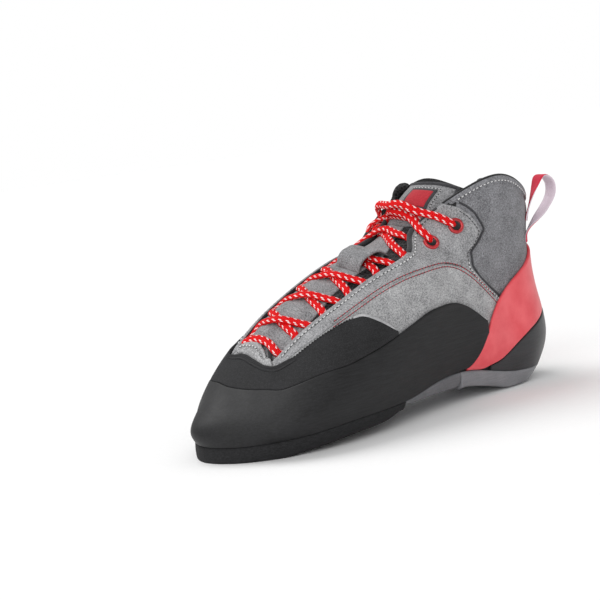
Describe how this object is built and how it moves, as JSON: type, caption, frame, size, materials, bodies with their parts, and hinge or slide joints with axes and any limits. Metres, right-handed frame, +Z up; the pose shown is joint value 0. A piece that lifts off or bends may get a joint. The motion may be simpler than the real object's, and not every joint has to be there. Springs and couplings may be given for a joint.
{
  "type": "climbing shoe",
  "caption": "Left laced climbing shoe with a pointed toe, black rubber rand, padded ankle collar, heel band and pull loops.",
  "frame": {"origin": "centre of the whole shoe's box in X and Y, on the floor under the sole", "axes": "+Z up, +Y from toe to heel, +X to the outer (little toe) side"},
  "size_m": [0.0934, 0.2572, 0.1294],
  "materials": {
    "upper": "grey suede",
    "rand": "brushed black rubber",
    "toe_patch": "matt black rubber",
    "heel_band": "satin red rubber",
    "heel_cup": "satin black rubber",
    "outsole": "black sole rubber with sanded edges",
    "arch": "smooth black rubber",
    "insole": "grey felt",
    "tongue": "grey microfibre and black padded mesh",
    "keeper": "grey microfibre",
    "label": "red woven label",
    "eyelet": "red painted",
    "lace": "red braid with white flecks",
    "loop_red": "red satin ribbon",
    "loop_black": "black ribbon"
  },
  "bodies": {
    "root": {"upper": "upper", "rand": "rand", "toe_patch": "toe_patch", "heel_band": "heel_band", "heel_cup": "heel_cup", "outsole_forefoot": "outsole", "arch_panel": "arch", "outsole_heel": "outsole", "insole": "insole", "tongue": "tongue", "tongue_keeper": "keeper", "tongue_label": "label", "eyelet_outer_low": "eyelet", "eyelet_outer_high": "eyelet", "eyelet_inner_low": "eyelet", "eyelet_inner_high": "eyelet", "lace_bar": "lace", "lace_cross_1": "lace", "lace_cross_2": "lace", "lace_cross_3": "lace", "lace_cross_4": "lace", "lace_cross_5": "lace", "lace_top": "lace", "pull_loop_outer": "loop_red", "pull_loop_inner": "loop_black"}
  },
  "joints": []
}
